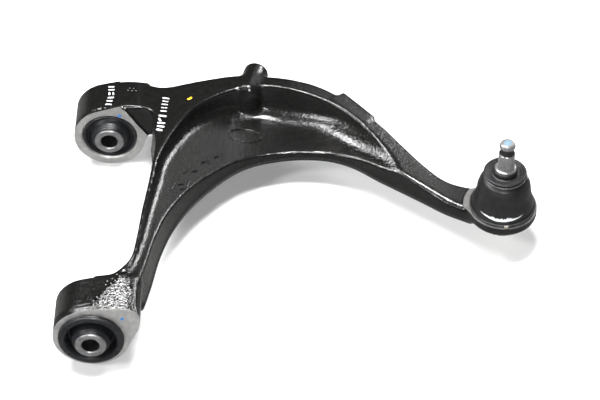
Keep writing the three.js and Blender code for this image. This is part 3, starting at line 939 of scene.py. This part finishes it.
# Strokes as dabs() takes them: (x0, y0, x1, y1, width). Punch marks are (x, y).
WHITE_DABS = [
    (-0.5, 153.5, 3.5, 152.5, 1.6), (-0.3, 149.5, 3.9, 148.5, 1.5), (0.2, 145.6, 0.4, 143.2, 1.6),
    (3.6, 145, 3.9, 142.6, 1.4), (-0.2, 139.5, 3.8, 138.6, 1.7), (-1.0, 135.6, 3.0, 134.4, 1.5),
    (-1.8, 131.2, 2.4, 130.2, 1.6), (46.5, 137.6, 51, 136.6, 1.6), (46.6, 133.4, 50.6, 132.6, 1.2),
    (46.2, 129.4, 50.2, 128.8, 1.5), (46.0, 125.2, 47.4, 124.8, 1.3), (49, 125, 50, 124.6, 1.1),
    (45.6, 121, 49.6, 120.4, 1.5), (44.6, 115, 49.4, 114.2, 2.0), (44.2, 111.2, 45.4, 108.6, 1.8),
    (44, 106, 48.6, 105.4, 2.1), (43.6, 101.8, 48.2, 101, 2.0), (43.4, 97.8, 46.8, 96.6, 2.2),
]
YELLOW_DABS = [(67.9, 136.1, 70.1, 137.3, 2.4)]
PUNCH_MARKS = [
    (11.6, -82), (12.6, -78.2), (15.6, -80.6), (16.4, -75.4), (18.6, -77.2), (19.6, -70.4), (21.8, -72.6),
    (16.2, 146.2), (17.6, 149), (19.6, 145.6), (20.8, 148.6), (23.2, 145.8),
]
FOUNDRY_BARS = [
    (57.5, 38, 59.5, 45, 1.7), (62.5, 44, 66.5, 46, 1.5), (64, 38.5, 66.5, 40, 1.5),
    (70, 44, 71.5, 51, 1.7),
    (67, 60, 70.5, 66.5, 1.8), (73, 62.5, 77, 64.5, 1.5), (80, 75, 84, 77.5, 1.6),
    (85.5, 81.5, 87, 75.5, 1.5),
    (90.5, 84, 94, 86.5, 1.6), (97, 90, 98.5, 84.5, 1.6),
]


def oval(cx, cy, along, across, width, count=28):
    """Strokes that make an oval ring."""
    angles = np.linspace(0, 2 * math.pi, count + 1)
    xs, ys = cx + along * np.cos(angles), cy + across * np.sin(angles)
    return [(*a, *b, width) for a, b in zip(zip(xs, ys), zip(xs[1:], ys[1:]))]


def face_dot(name, x, y, z, radius):
    """A dab on a machined face that looks along -Y."""
    return turned(name, [[0, -0.16], [radius * 0.7, -0.14], [radius, 0.05], [0, 0.1]], (x, y, z), "y", 20)


def boot_wash(seed=4):
    """A ragged wash of marker paint low on the boot's front."""
    draw = random.Random(seed)
    outside = rounded(boot_outside(), 6)
    heights, radii = outside[:, 1], outside[:, 0]
    points, rows = [], 5
    angles = np.radians(np.linspace(-140, -55, 60))
    for i, angle in enumerate(angles):
        middle = abs(i / (len(angles) - 1) - 0.5) * 2
        low = 13.4 + 3.0 * middle ** 2 + 0.5 * draw.random()
        high = low + max(0.25, 3.6 * (1 - middle ** 1.5) * (0.45 + 0.75 * draw.random()))
        for k in range(rows + 1):
            z = low + (high - low) * k / rows
            radius = np.interp(z, heights, radii) + 0.16 * math.sin(math.pi * (0.1 + 0.8 * k / rows))
            points.append((BALL_X + radius * math.cos(angle), BALL_Y + radius * math.sin(angle), z))
    faces = sheet_faces(0, len(angles) - 1, rows + 1)
    return mesh_piece("boot_wash", to_row(points), faces, 60, closed=False)


def surface_marks(casting, finishes):
    """Marker paint, punch marks and plain raised foundry marks."""
    mesh = casting.data
    tree = BVHTree.FromPolygons([v.co for v in mesh.vertices], [p.vertices for p in mesh.polygons])
    white, yellow, blue = finishes["white_mark"], finishes["yellow_mark"], finishes["blue_mark"]
    dots = [(x, y, x + 0.05, y, 0.8) for x, y in PUNCH_MARKS]
    foundry = FOUNDRY_BARS + oval(116, 116.5, 13.5, 8.0, 1.3)
    for piece, (finish, slot) in (
        (dabs("white_dabs", tree, WHITE_DABS, 0.12, 0.35, 7), white),
        (dabs("yellow_dab", tree, YELLOW_DABS, 0.12), yellow),
        (dabs("punch_marks", tree, dots, 0.25), finishes["punch"]),
        (dabs("foundry_marks", tree, foundry, 1.1), finishes["cast"]),
        (face_dot("rear_face_dot", 9.7, REAR_FRONT, 24.2, 1.9), blue),
        (face_dot("front_face_dot", 25.2, FRONT_FRONT, 21.3, 1.6), blue),
    ):
        dress(piece, finish, slot, "arm")
    tip = turned("tip_dab", [
        [0, STUD_TIP + 0.12], [2.4, STUD_TIP + 0.04], [3.3, STUD_TIP - 0.3], [0, STUD_TIP - 0.5],
    ], BALL_AXIS, sides=32)
    dress(tip, *finishes["pale_blue_mark"], "stud")
    wash = boot_wash()
    wash.data.materials.append(white[0])
    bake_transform(wash)


# ---------------------------------------------------------------- finishes

class Finish:
    """A procedural material under construction. Sizes are in millimetres."""

    def __init__(self, name, metal=0.0, specular=0.5):
        self.material = bpy.data.materials.new(name)
        self.material.use_nodes = True
        self.tree = self.material.node_tree
        self.shader = self.tree.nodes["Principled BSDF"]
        self.places = self.tree.nodes.new("ShaderNodeTexCoord").outputs["Object"]
        self.relief = None
        self.set("Metallic", metal)
        self.set("Specular IOR Level", specular)

    def set(self, entry, value):
        self.shader.inputs[entry].default_value = value

    def link(self, output, entry):
        self.tree.links.new(output, entry)

    def noise(self, size, detail=2.0, stretch=(1, 1, 1)):
        """Soft noise from 0 to 1 whose patches are about this size."""
        mapping = self.tree.nodes.new("ShaderNodeMapping")
        mapping.inputs["Scale"].default_value = stretch
        texture = self.tree.nodes.new("ShaderNodeTexNoise")
        texture.inputs["Scale"].default_value = 1 / (size * MM)
        texture.inputs["Detail"].default_value = detail
        self.link(self.places, mapping.inputs["Vector"])
        self.link(mapping.outputs["Vector"], texture.inputs["Vector"])
        return texture.outputs["Fac"]

    def between(self, value, low, high, start=0.3, end=0.7):
        """The value, which runs from start to end, as a number from low to high."""
        spread = self.tree.nodes.new("ShaderNodeMapRange")
        for entry, number in (("From Min", start), ("From Max", end), ("To Min", low), ("To Max", high)):
            spread.inputs[entry].default_value = number
        self.link(value, spread.inputs["Value"])
        return spread.outputs["Result"]

    def colour(self, dark, light, value):
        mix = self.tree.nodes.new("ShaderNodeMix")
        mix.data_type = "RGBA"
        mix.inputs[6].default_value = (*dark, 1)
        mix.inputs[7].default_value = (*light, 1)
        self.link(self.between(value, 0, 1), mix.inputs["Factor"])
        self.link(mix.outputs[2], self.shader.inputs["Base Color"])

    def roughness(self, low, high, value):
        self.link(self.between(value, low, high), self.shader.inputs["Roughness"])

    def bump(self, height, depth, strength=None):
        """Relief of this depth; strength may be a value that varies over the surface."""
        made = self.tree.nodes.new("ShaderNodeBump")
        made.inputs["Distance"].default_value = depth * MM
        self.link(height, made.inputs["Height"])
        if strength is not None:
            self.link(strength, made.inputs["Strength"])
        if self.relief is not None:
            self.link(self.relief, made.inputs["Normal"])
        self.relief = made.outputs["Normal"]
        self.link(self.relief, self.shader.inputs["Normal"])

    def attribute(self, name):
        """A number kept on the mesh's points."""
        reader = self.tree.nodes.new("ShaderNodeAttribute")
        reader.attribute_name = name
        return reader.outputs["Fac"]


def cast_paint():
    """Gloss black paint over a forged skin, coarser where the skin is marked so."""
    made = Finish("cast_paint", specular=0.55)
    made.colour((0.0035, 0.0035, 0.0034), (0.007, 0.007, 0.0065), made.noise(3, 3))
    made.roughness(0.17, 0.25, made.noise(4, 3))
    coarse = made.attribute("coarse")
    made.bump(made.attribute("hollow"), 1.0)
    made.bump(made.noise(2.3, 2), 0.65, coarse)
    made.bump(made.noise(1.3, 1), 0.42, coarse)
    return made.material


def machined_steel(name, dark, light, low=0.34, high=0.5, metal=0.7):
    made = Finish(name, metal=metal)
    made.colour(dark, light, made.noise(5, 4))
    made.roughness(low, high, made.noise(1.6, 3))
    made.bump(made.noise(0.55, 2), 0.02)
    return made.material


def turned_steel(name, dark, light, low, high):
    """Bright steel with faint tool rings along the ball joint's axis."""
    made = Finish(name, metal=0.6)
    made.colour(dark, light, made.noise(6, 4))
    made.roughness(low, high, made.noise(2.5, 3))
    made.bump(made.noise(1.0, 1, (0.1, 0.1, 2.0)), 0.002)
    return made.material


def rubber(name, dark, light, low, high, grain, depth):
    made = Finish(name, specular=0.5)
    made.colour(dark, light, made.noise(7, 3))
    made.roughness(low, high, made.noise(4, 3))
    made.bump(made.noise(grain, 2), depth)
    return made.material


def wet_paint(name, colour):
    """Marker paint dabbed on by hand."""
    made = Finish(name, specular=0.4)
    made.colour([c * 0.8 for c in colour], colour, made.noise(1.2, 2))
    made.roughness(0.45, 0.6, made.noise(2, 2))
    return made.material


# Each row: use, maker, the material's name, and then what the maker takes.
FINISHES = [
    ("machined", machined_steel, "machined_face", (0.43, 0.428, 0.42), (0.58, 0.575, 0.565), 0.42, 0.55),
    # A darker copy of the machined steel, as painted shade on the upward-facing spot face round the ball
    # joint.
    ("spot_face", machined_steel, "spot_face", (0.2, 0.195, 0.19), (0.28, 0.275, 0.27), 0.35, 0.45, 0.85),
    ("shell", machined_steel, "shell_steel", (0.03, 0.03, 0.032), (0.09, 0.09, 0.095), 0.3, 0.42),
    ("sleeve", machined_steel, "sleeve_steel", (0.26, 0.262, 0.266), (0.42, 0.42, 0.425), 0.34, 0.48, 0.85),
    # Near-black steel, as painted shade inside the sleeves' bolt bores and in the stud's neck groove.
    ("bore", machined_steel, "bolt_bore", (0.012, 0.012, 0.013), (0.03, 0.03, 0.032), 0.45, 0.6, 0.5),
    ("rubber", rubber, "bush_rubber", (0.005, 0.0055, 0.0065), (0.012, 0.013, 0.016), 0.34, 0.5, 1.2, 0.06),
    ("boot", rubber, "boot_rubber", (0.006, 0.006, 0.007), (0.012, 0.012, 0.0125), 0.34, 0.45, 1.6, 0.03),
    ("stud", turned_steel, "bright_steel", (0.2, 0.2, 0.203), (0.3, 0.3, 0.303), 0.26, 0.36),
    ("spring", turned_steel, "spring_steel", (0.22, 0.22, 0.23), (0.36, 0.36, 0.37), 0.25, 0.4),
    ("plated", turned_steel, "plated_steel", (0.36, 0.34, 0.28), (0.5, 0.48, 0.4), 0.3, 0.4),
    ("seat", rubber, "seat_plastic", (0.62, 0.6, 0.54), (0.72, 0.7, 0.64), 0.4, 0.5, 2.0, 0.01),
    ("white_mark", wet_paint, "white_mark", (0.8, 0.82, 0.84)),
    ("yellow_mark", wet_paint, "yellow_mark", (0.85, 0.52, 0.02)),
    ("blue_mark", wet_paint, "blue_mark", (0.05, 0.22, 0.55)),
    ("pale_blue_mark", wet_paint, "pale_blue_mark", (0.16, 0.25, 0.31)),
    ("punch", machined_steel, "punched_metal", (0.35, 0.35, 0.34), (0.6, 0.6, 0.58)),
    ("band", machined_steel, "base_band_steel", (0.05, 0.05, 0.052), (0.12, 0.12, 0.125), 0.3, 0.4),
]
# The slots of materials whose slot has another name than their own.
SLOTS = {
    "white_mark": "cast_paint", "yellow_mark": "cast_paint", "blue_mark": "cast_paint",
    "pale_blue_mark": "bright_steel", "punched_metal": "cast_paint", "base_band_steel": "spring_steel",
}


def make_finishes():
    """Each finish by its use, as a material and a slot."""
    finishes = {"cast": (cast_paint(), "cast_paint")}
    for use, make, name, *settings in FINISHES:
        finishes[use] = (make(name, *settings), SLOTS.get(name, name))
    return finishes


# ---------------------------------------------------------------- the object

def hidden_parts(finishes):
    """The solids inside the ball joint keep their CAD shapes."""
    for node, kind in (
        ("upper_ball_seat", "seat"), ("lower_ball_seat", "seat"),
        ("preload_washer", "spring"), ("stud_ball", "stud"),
    ):
        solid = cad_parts[node]
        solid.data.materials.clear()
        solid.data.materials.append(finishes[kind][0])


def build():
    finishes = make_finishes()
    casting = arm_casting(*(finishes[use][0] for use in ("cast", "machined", "spot_face")))
    dress(casting, None, finishes["cast"][1], "arm", "arm_casting")
    for side in ("rear", "front"):
        bush(side, finishes)
    ball_joint(finishes)
    hidden_parts(finishes)
    surface_marks(casting, finishes)


# ---------------------------------------------------------------- studio

CENTRE = (0, 0, 0.03)
# Name, place, size and power of each lamp; all look at CENTRE.
LAMPS = [
    ("overhead", (0.0, 0.08, 1.3), (0.38, 0.26), 28),
    ("front", (0.05, -1.55, 1.45), (0.3, 0.18), 22),
    ("front_left", (-1.3, -0.75, 1.2), (0.3, 0.3), 16),
    ("back_right", (1.1, 1.25, 0.95), (0.6, 0.4), 16),
    ("recess_glow", (0.55, 1.4, 1.15), (0.65, 0.55), 1.3),
    ("left_above", (-0.8, 0.25, 1.15), (0.3, 0.3), 14),
]


def stand(name, data, place, way):
    """Sets a lamp or a camera at a place, looking a way."""
    holder = bpy.data.objects.new(name, data)
    holder.location = place
    holder.rotation_mode = "QUATERNION"
    holder.rotation_quaternion = way.to_track_quat("-Z", "Y")
    bpy.context.scene.collection.objects.link(holder)
    return holder


def area_light(name, place, size, power):
    lamp = bpy.data.lights.new(name, "AREA")
    lamp.shape = "RECTANGLE"
    lamp.size, lamp.size_y = size
    lamp.energy = power
    stand(name, lamp, place, Vector(CENTRE) - Vector(place))


def seen_directly(thing):
    """Keeps a studio piece out of the object's mirror reflections, as black cards round a set do."""
    thing.visible_glossy = False


def floor():
    reach, low = 8.0, CAD_BOX[0].z - 0.2 * MM
    corners = [(-reach, -reach, low), (reach, -reach, low), (reach, reach, low), (-reach, reach, low)]
    plane = mesh_piece("floor", corners, [(0, 1, 2, 3)])
    made = Finish("floor_white", specular=0.2)
    made.colour((0.80, 0.80, 0.80), (0.82, 0.82, 0.82), made.noise(300, 2))
    made.set("Roughness", 0.9)
    made.set("Emission Color", (0.95, 0.95, 0.95, 1))
    reach_of_lamps = made.tree.nodes.new("ShaderNodeMapping")
    reach_of_lamps.inputs["Scale"].default_value = (0.4, 0.4, 0.4)
    fade = made.tree.nodes.new("ShaderNodeTexGradient")
    fade.gradient_type = "SPHERICAL"
    made.link(made.places, reach_of_lamps.inputs["Vector"])
    made.link(reach_of_lamps.outputs["Vector"], fade.inputs["Vector"])
    made.link(made.between(fade.outputs["Fac"], 0.9, 0.0, 0.0, 1.0), made.shader.inputs["Emission Strength"])
    plane.data.materials.append(made.material)
    seen_directly(plane)


def backdrop():
    """A pale dome behind everything, for low views."""
    radius = 7000
    quarter = np.linspace(0, math.pi / 2, 12)
    points, faces = lathe([[radius * math.cos(a), radius * math.sin(a)] for a in quarter], sides=48)
    dome = mesh_piece("backdrop", points * MM, faces)
    made = Finish("backdrop_white")
    made.colour((0.85, 0.85, 0.85), (0.88, 0.88, 0.88), made.noise(3000, 2))
    made.set("Emission Color", (0.95, 0.95, 0.95, 1))
    made.set("Emission Strength", 0.9)
    dome.data.materials.append(made.material)
    dome.visible_diffuse = dome.visible_shadow = False
    seen_directly(dome)


def studio_world():
    """Dim above, paler below, by direction."""
    world = bpy.data.worlds.new("studio")
    world.use_nodes = True
    tree = world.node_tree
    ways = tree.nodes.new("ShaderNodeTexCoord")
    split = tree.nodes.new("ShaderNodeSeparateXYZ")
    spread = tree.nodes.new("ShaderNodeMapRange")
    for entry, number in (("From Min", -0.1), ("From Max", 0.12), ("To Min", 0.4), ("To Max", 0.035)):
        spread.inputs[entry].default_value = number
    tree.links.new(ways.outputs["Generated"], split.inputs["Vector"])
    tree.links.new(split.outputs["Z"], spread.inputs["Value"])
    tree.links.new(spread.outputs["Result"], tree.nodes["Background"].inputs["Strength"])
    tree.nodes["Background"].inputs["Color"].default_value = (1.0, 0.99, 0.97, 1)
    bpy.context.scene.world = world


def studio():
    floor()
    backdrop()
    studio_world()
    for lamp in LAMPS:
        area_light(*lamp)
    bpy.context.scene.view_settings.view_transform = "Standard"


def camera():
    elevation, distance, lens = math.radians(44), 1.826, 132
    target = Vector(to_row((162.757, 46.245, 0)))
    back = Vector((0, -math.cos(elevation), math.sin(elevation)))
    data = bpy.data.cameras.new("camera")
    data.lens, data.sensor_width = lens, 36
    bpy.context.scene.camera = stand("camera", data, target + back * distance, -back)


build()
studio()
camera()
